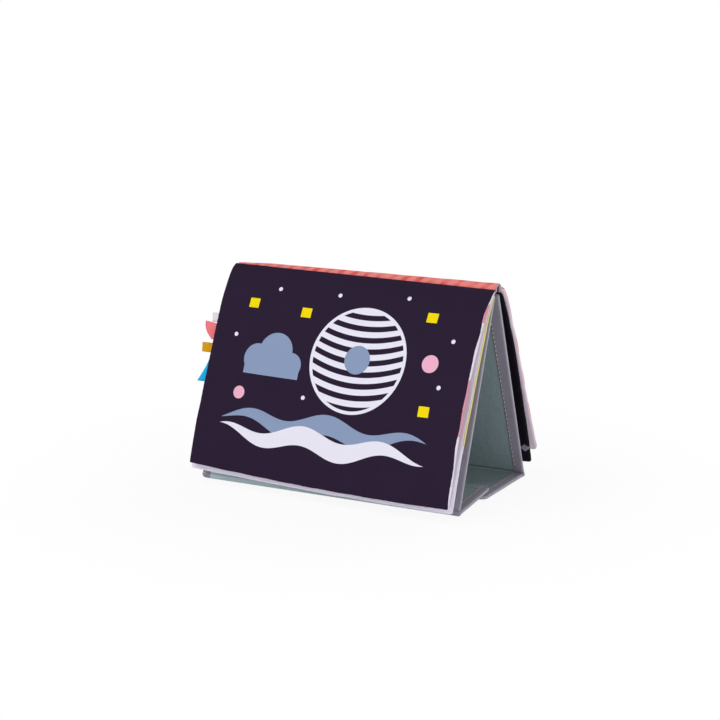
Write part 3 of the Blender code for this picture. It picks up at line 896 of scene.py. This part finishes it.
def rim_section(way, dip):
    """Where a cloth lies, this way round a leaf's rim: in from the rim, and out from the middle."""
    turn = np.clip(way / RIM_ROUND, -math.pi / 2, math.pi / 2)
    reach = RIM_ROUND - dip
    inset = PAGE_HALF - reach * np.cos(turn) + np.maximum(np.abs(way) - RIM_QUARTER, 0)
    return inset, reach * np.sin(turn)


def round_corner(x, y, corner):
    """Draws places in a leaf's square corner on to its round one: distances in from its edges."""
    a, b = np.maximum(corner - x, 0), np.maximum(corner - y, 0)
    near = (a > 0) & (b > 0)
    pull = np.where(near, np.maximum(a, b) / np.maximum(np.hypot(a, b), 1e-9), 1)
    return np.where(near, corner - a * pull, x), np.where(near, corner - b * pull, y)


def roll(seed, at, length, mean, swing):
    """How far a seam has rolled off the rim's middle, dying away at the corners."""
    loose = (1 - np.exp(-at / ROLL_END)) * (1 - np.exp(-(length - at) / ROLL_END))
    return loose * (mean + swing * ripple(seed, at, 0 * at, ROLL_WAVE_SIZE))


def stretch(way, least, inset, size, full):
    """How far in from one edge of a leaf a place lies, from its way in over the flat cloth."""
    return inset + (way - least) * (full / 2 - inset) / np.maximum(size / 2 - least, 1e-6)


def cover_leaf(name, face, finish, slot):
    """One of a leaf's two cloths: 1 is the outer one and -1 the inner."""
    leaf = Leaf(name)
    wide = PAGE_LENGTH - 2 * (PAGE_HALF - RIM_QUARTER)
    tall = PAGE_HEIGHT - 2 * (PAGE_HALF - RIM_QUARTER)
    rolls = LEAF_ROLLS[name]
    proud_ends, proud_middle = RIGHT_PROUD.get(name, (0, 0))
    seed = 40 + 10 * int(name[-1])

    def rolled(number, way, at, length):
        """A way in from an edge, moved by how far the seam there has rolled."""
        rolled_off = roll(seed + number, at, length, *rolls[number])
        return way + face * rolled_off * np.exp(-way / ROLL_REACH)

    def lie(across, down):
        from_right, from_foot = wide - across, tall - down
        left = rolled(0, across, down, tall)
        right = rolled(1, from_right, down, tall)
        foot = rolled(2, from_foot, across, wide)
        way_x, way_y = np.minimum(left, right), np.minimum(down, foot)
        way = np.minimum(way_x, way_y)
        edge = np.minimum.reduce((across, from_right, down, from_foot))
        pucker = np.sin(2 * math.pi * (across + RIM_PUCKER_SLANT * down) / RIM_PUCKER_PITCH)
        pucker = pucker * np.exp(-edge / RIM_PUCKER_REACH) * RIM_PUCKER
        dip = SEAM_DIP * np.exp(-((edge / SEAM_DIP_WIDTH) ** 2))
        inset, height = rim_section(way, dip - pucker)
        slack = ripple(seed + 3, across, down, SLACK_SIZE) * SLACK * np.exp(-edge / SLACK_REACH)
        x = stretch(way_x, way, inset, wide, PAGE_LENGTH) + slack
        y = stretch(way_y, way, inset, tall, PAGE_HEIGHT) + slack
        x, y = round_corner(x, y, PAGE_CORNERS[name])
        share = np.clip(down / tall, 0, 1)
        right_proud = proud_ends + proud_middle * np.sin(math.pi * share) ** PROUD_POWER
        right_proud = right_proud * np.exp(-from_right / PROUD_REACH)
        foot_proud = share**3 * FOOT_PROUD.get(name, 0) * np.exp(-across / PROUD_REACH)
        x = np.where(left < right, x - foot_proud, PAGE_LENGTH - x + right_proud)
        y = np.where(down < foot, y, PAGE_HEIGHT - y)
        held = np.sqrt(1 - (1 - np.clip(y / SEAM_WIDTH, 0, 1)) ** 2)
        return leaf.place(x, y, face * height * (SEAM_FLATTENED + (1 - SEAM_FLATTENED) * held))

    part = "outer" if face > 0 else "inner"
    columns, rows = places(wide, 110, FINE_RIM), places(tall, 84, FINE_RIM)
    piece = cloth(f"{name}_{part}_cloth", columns, rows, lie, PAGE_CLOTH, finish)
    tie(piece, name, f"{name}_{part}_fabric")


def fill_leaf(name, word, low, high, finish, slot):
    """A layer inside a leaf, between two heights from its middle."""
    leaf = Leaf(name)
    inset = SEAM_WIDTH + PAGE_CLOTH
    size = (PAGE_LENGTH - 2 * inset, PAGE_HEIGHT - 2 * inset)

    def lie(across, down):
        return leaf.place(across + inset, down + inset, 0 * across + (low + high) / 2)

    columns, rows = places(size[0], 24), places(size[1], 40)
    piece = cloth(f"{name}_{word}", columns, rows, lie, high - low, finish)
    tie(piece, name, f"{name}_{slot}")
    return piece, size


def edge_of(inside, sharpness=8):
    """1 where a number of millimetres is above 0, and 0 where it is below."""
    return (inside * sharpness).math("ADD", 0.5, clamp=True)


def disc(u, v, x, y, radius):
    """1 inside a circle and 0 outside it, in millimetres on the cloth."""
    return edge_of(radius - ((u - x) ** 2 + (v - y) ** 2) ** 0.5)


def block(u, v, x, y, half_wide, half_high):
    """1 inside an upright rectangle and 0 outside it."""
    across, down = (u - x).math("ABSOLUTE"), (v - y).math("ABSOLUTE")
    return edge_of(half_wide - across) * edge_of(half_high - down)


def front_print(finish, u, v):
    """A striped ball over two rolling waves, with a cloud, squares and dots."""
    white, grey, dark, yellow, pink = map(tint, FRONT_COLOURS)
    layers = []
    for middle, height, depth, phase, ink in ((150, 5, 9, 0.4, grey), (163, 5, 9, 2.2, white)):
        crest = (u * (2 * math.pi / 84) + phase).math("SINE") * height + middle
        lens = depth - (u - 136) ** 2 * (depth / 108**2)
        layers.append((edge_of(lens - (v - crest).math("ABSOLUTE"), 6), ink))
    ball = (160, 84)
    layers.append((disc(u, v, *ball, 49), white))
    bow = v + (u - ball[0]) ** 2 * 0.0042
    stripes = ((bow * (2 * math.pi / 10.5)).math("SINE") * 8).math("ADD", 0.2, clamp=True)
    layers.append((stripes * disc(u, v, *ball, 46), dark))
    layers.append((disc(u, v, *ball, 13), grey))
    for spot in ((54, 94, 14), (73, 86, 18), (91, 97, 12)):
        layers.append((disc(u, v, *spot), grey))
    layers.append((block(u, v, 72, 102, 30, 7), grey))
    for x, y in ((38, 42), (96, 46), (236, 122), (224, 38)):
        layers.append((block(u, v, x, y, 5.2, 4.6), yellow))
    layers.append((disc(u, v, 233, 80, 8), pink))
    layers.append((disc(u, v, 42, 128, 6), pink))
    for x, y in ((62, 26), (126, 26), (196, 22), (26, 74), (112, 124), (246, 100), (250, 58)):
        layers.append((disc(u, v, x, y, 2), white))
    return layers


def pink_rounds(finish, u, v):
    """Large plain pink rounds."""
    spots = ((268, 27, 10), (258, 115, 29), (180, 60, 26), (96, 130, 30), (30, 50, 22))
    return [(disc(u, v, *spot), tint(PINK_ROUNDS)) for spot in spots]


def pale_ground(finish, u, v):
    """A pale lower third with a rolling edge."""
    crest = (u * (2 * math.pi / 120)).math("SINE") * 8 + 134
    return [(edge_of(v - crest), tint(LAVENDER[1]))]


def grey_diamonds(finish, u, v):
    """A few small grey diamonds."""
    layers = []
    for x, y in ((267, 184.2), (232, 168), (190, 184), (140, 170), (90, 186), (40, 166)):
        away = (u - x).math("ABSOLUTE") + (v - y).math("ABSOLUTE") * 1.1
        layers.append((edge_of(4.6 - away), tint(DIAMONDS)))
    return layers


def filling_finish(name, shade, colour, size, roughness, gloss, relief):
    """The finish of a layer that the cloths hide."""
    finish = Finish(name, roughness, gloss)
    place, _ = finish.spot()
    clouds = finish.noise(place, size, 3.0)
    finish.colour(finish.mix(tint(shade), tint(colour), clouds))
    finish.relief(clouds, relief)
    return finish.material


front_cloth = cloth_finish("printed front cloth", *FRONT_INK, front_print, gloss=0.1, sheen=0.0)
rounds_cloth = cloth_finish("cloth with pink rounds", *PALE_GROUND, pink_rounds, crease=0.3)
mauve_cloth = cloth_finish("mauve cloth", *MAUVE, crease=0.3)
hills_cloth = cloth_finish("yellow cloth", *YELLOW, pale_ground, crease=0.3)
black_cloth = cloth_finish("black cloth", *BLACK, grey_diamonds, crease=0.3, gloss=0.1, sheen=0.0)
film_finish = filling_finish("crackling film", *FILM, 6, 0.25, 0.5, 0.3)
wadding_finish = filling_finish("wadding", *WADDING, 3, 1.0, 0.1, 0.6)
LEAF_CLOTHS = {
    "leaf_1": ((front_cloth, "front_print"), (rounds_cloth, "mauve_cloth")),
    "leaf_2": ((lavender_cloth, "lavender_cloth"), (hills_cloth, "cream_cloth")),
    "leaf_3": ((sage_cloth, "sage_cloth"), (black_cloth, "dark_print")),
    "leaf_4": ((coral_cloth, "ridge_stripe"), (mauve_cloth, "lavender_cloth")),
}
for name, (outer, inner) in LEAF_CLOTHS.items():
    cover_leaf(name, 1, *outer)
    cover_leaf(name, -1, *inner)
    high = PAGE_HALF - PAGE_CLOTH - LAYER_GAP
    low = high - FILM_THICKNESS
    film, size = fill_leaf(name, "film", low, high, film_finish, "crinkle_film")
    pad, _ = fill_leaf(name, "pad", -high, low - LAYER_GAP, wadding_finish, "wadding")

# Ribbon loops. Four folded ends of satin ribbon are caught in the second leaf's left seam, for a
# baby to pull. Two are caught on the slant, so that one edge of them sticks out further.
RIBBON_THICKNESS = 0.00045
RIBBON_CAUGHT = 0.0012
RIBBON_SEAM_GAP = 0.0008
RIBBON_APART = 0.0004
RIBBON_CURL = 0.0002
RIBBON_BULGE_SHARE = 1.3
# Each one's place down the leaf, its reach at its upper and lower edge with the power of the
# change between them, its span along the seam, its opening, its droop in degrees, and its colour.
RIBBONS = {
    "lavender": (0.26, (0.0086, 0.0068, 1), 0.0086, 0.002, 2, "#f8f2fb"),
    "coral": (0.332, (0.0142, 0.0035, 2.3), 0.0158, 0.003, -7, "#ff838a"),
    "mustard": (0.4125, (0.0129, 0.0112, 1), 0.0090, 0.002, 0, "#e3a400"),
    "cyan": (0.5235, (0.0018, 0.0102, 1.25), 0.0215, 0.0036, 1, "#00c0fc"),
}


def satin_finish(name, colour):
    """Satin ribbon, with fine ribs across and a soft shine."""
    finish = Finish(name, 0.5, 0.15)
    place, (u, v, _) = finish.spot()
    ribs = (u * (2 * math.pi / 0.35)).math("SINE") * 0.5 + 0.5
    clouds = finish.noise(place, 6, 2.0)
    dim = tuple(part * 0.8 for part in tint(colour)[:3]) + (1,)
    finish.colour(finish.mix(dim, tint(colour), ribs * 0.2 + clouds * 0.5 + 0.3))
    finish.relief(ribs * 0.04 + clouds * 0.3, 1.0)
    return finish.material


def sew_ribbon(name, down_share, reaches, span, opening, droop, colour):
    """A ribbon folded back on itself, with both its ends in the seam."""
    leaf = Leaf("leaf_2")
    at = np.array([down_share * PAGE_HEIGHT])
    zero = np.array([0.0])
    small = 0.002
    edge = leaf.point(zero, at - small)[0] - leaf.point(zero, at + small)[0]
    edge = edge / np.linalg.norm(edge)
    out = leaf.out(zero + small / 2, at)[0]
    root = leaf.point(zero, at)[0] - np.array((PAGE_CLOTH + RIBBON_SEAM_GAP, 0, 0))
    angle = math.radians(droop)
    away = np.array((-math.cos(angle), 0, 0)) - edge * math.sin(angle)
    upper, lower, power = reaches
    longest = max(upper, lower) + RIBBON_CAUGHT
    size = (2 * longest, span)

    def lie(across, down):
        turn, fall = across / longest - 1, down / span
        reach = upper + (lower - upper) * fall**power
        along = (reach + RIBBON_CAUGHT - RIBBON_THICKNESS / 2) * (1 - turn**2) - RIBBON_CAUGHT
        bulge = opening * reach / max(upper, lower) * RIBBON_BULGE_SHARE * turn * (1 - turn**2)
        curl = ripple(7, fall * span, 0 * fall, span) * RIBBON_CURL * (1 - turn**2)
        place = root + np.outer(along, away) + np.outer(RIBBON_APART * turn + bulge + curl, out)
        return place + np.outer(span / 2 - down, edge)

    satin = satin_finish(f"{name} ribbon", colour)
    columns, rows = places(size[0], 64), places(span, 16)
    piece = cloth(f"ribbon_{name}_loop", columns, rows, lie, RIBBON_THICKNESS, satin)
    tie(piece, f"ribbon_{name}", f"ribbon_{name}")
    mean = upper + (lower - upper) / (1 + power) + RIBBON_CAUGHT
    2 * mean * span


for name, values in RIBBONS.items():
    sew_ribbon(name, *values)

# Studio. A pale sweep of paper under soft lamps and an even fill, seen from the front and a
# little to the right, as the book was photographed.
CAMERA_YAW = 27.7
CAMERA_PITCH = 12.12
CAMERA_ROLL = 0.2
CAMERA_DISTANCE = 1.70
CAMERA_AIM = (-0.0055, 0, 0.113)
CAMERA_LENS = 90
PAPER = "#fbfbfb"
FLOOR_LEVEL = -0.0007
FLOOR_HALF = 6
FLOOR_GLOW = 0.91
GLOW_FROM = 0.15
GLOW_RAMP = 4
FILL_COLOUR = (0.93, 0.95, 1.0, 1)
FILL_STRENGTH = 0.31
LAMP_AIM = (0, 0, 0.1)
# Each lamp's place, size and power.
LAMPS = {
    "key_lamp": ((-0.75, -1.05, 1.85), 1.4, 20),
    "low_lamp": ((-0.5, -1.9, 0.25), 0.8, 6),
    "side_lamp": ((1.45, -0.85, 0.3), 0.8, 9),
    "rear_lamp": ((0.5, 1.7, 1.2), 1.0, 12),
}


def camera_stand():
    """The camera's place and turn, from its yaw, pitch and roll."""
    yaw, pitch, roll = map(math.radians, (CAMERA_YAW, CAMERA_PITCH, CAMERA_ROLL))
    level = Vector((-math.sin(yaw), math.cos(yaw), 0))
    ahead = level * math.cos(pitch) - Vector((0, 0, math.sin(pitch)))
    side = Vector((math.cos(yaw), math.sin(yaw), 0))
    top = side.cross(ahead)
    right = math.cos(roll) * side + math.sin(roll) * top
    up = math.cos(roll) * top - math.sin(roll) * side
    turn = Matrix((right, up, -ahead)).transposed().to_4x4()
    return Matrix.Translation(Vector(CAMERA_AIM) - CAMERA_DISTANCE * ahead) @ turn


lens = bpy.data.cameras.new("camera")
lens.lens = CAMERA_LENS
lens.sensor_width = 36
camera = bpy.data.objects.new("camera", lens)
camera.matrix_world = camera_stand()
bpy.context.scene.collection.objects.link(camera)
bpy.context.scene.camera = camera


def paper_floor():
    """A floor that is white to the camera but keeps the book's shadow."""
    shape = bmesh.new()
    bmesh.ops.create_grid(shape, x_segments=1, y_segments=1, size=FLOOR_HALF)
    bmesh.ops.translate(shape, vec=(0, 0, FLOOR_LEVEL), verts=shape.verts)
    finish = Finish("white paper", 0.9, 0.0)
    camera_ray, glossy_ray, clear_ray = (
        finish.node("ShaderNodeLightPath", output=f"Is {kind} Ray")
        for kind in ("Camera", "Glossy", "Transmission")
    )
    seen = (camera_ray + glossy_ray).math("ADD", clear_ray, clamp=True)
    finish.colour(tint(PAPER))
    place = finish.node("ShaderNodeTexCoord", output="Object")
    away = finish.node("ShaderNodeVectorMath", {"operation": "LENGTH"}, {0: place}, output="Value")
    far = (away - GLOW_FROM).math("MULTIPLY", GLOW_RAMP, clamp=True)
    glow = finish.node("ShaderNodeEmission", None, {"Color": (1, 1, 1, 1), "Strength": 1.0})
    share = seen * (far * (1 - FLOOR_GLOW) + FLOOR_GLOW)
    mixed = finish.node("ShaderNodeMixShader", None, {0: share})
    finish.tree.links.new(finish.shader.outputs[0], mixed.socket.node.inputs[1])
    finish.tree.links.new(glow.socket, mixed.socket.node.inputs[2])
    finish.tree.links.new(mixed.socket, finish.tree.nodes["Material Output"].inputs["Surface"])
    made_piece(made_mesh("paper_floor", shape, finish.material))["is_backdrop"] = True


paper_floor()


def soft_lamp(name, place, size, power):
    """A square soft lamp that looks at the book."""
    lamp = bpy.data.lights.new(name, "AREA")
    lamp.size = size
    lamp.energy = power
    held = bpy.data.objects.new(name, lamp)
    place = Vector(place)
    turn = (Vector(LAMP_AIM) - place).to_track_quat("-Z", "Y").to_matrix().to_4x4()
    held.matrix_world = Matrix.Translation(place) @ turn
    bpy.context.scene.collection.objects.link(held)


for name, values in LAMPS.items():
    soft_lamp(name, *values)


def white_room():
    """An even fill, with white behind the book."""
    world = bpy.data.worlds.new("white room")
    bpy.context.scene.world = world
    world.use_nodes = True
    nodes, links = world.node_tree.nodes, world.node_tree.links
    seen = nodes.new("ShaderNodeLightPath")
    fill = nodes["Background"]
    fill.inputs["Color"].default_value = FILL_COLOUR
    fill.inputs["Strength"].default_value = FILL_STRENGTH
    behind = nodes.new("ShaderNodeBackground")
    behind.inputs["Color"].default_value = (1, 1, 1, 1)
    mixed = nodes.new("ShaderNodeMixShader")
    links.new(seen.outputs["Is Camera Ray"], mixed.inputs[0])
    links.new(fill.outputs[0], mixed.inputs[1])
    links.new(behind.outputs[0], mixed.inputs[2])
    links.new(mixed.outputs[0], nodes["World Output"].inputs["Surface"])


white_room()
bpy.context.scene.view_settings.view_transform = "Standard"

boxes = {"solid": solid_box, "visual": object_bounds()}
boxes = {word: [list(corner) for corner in box] for word, box in boxes.items()}
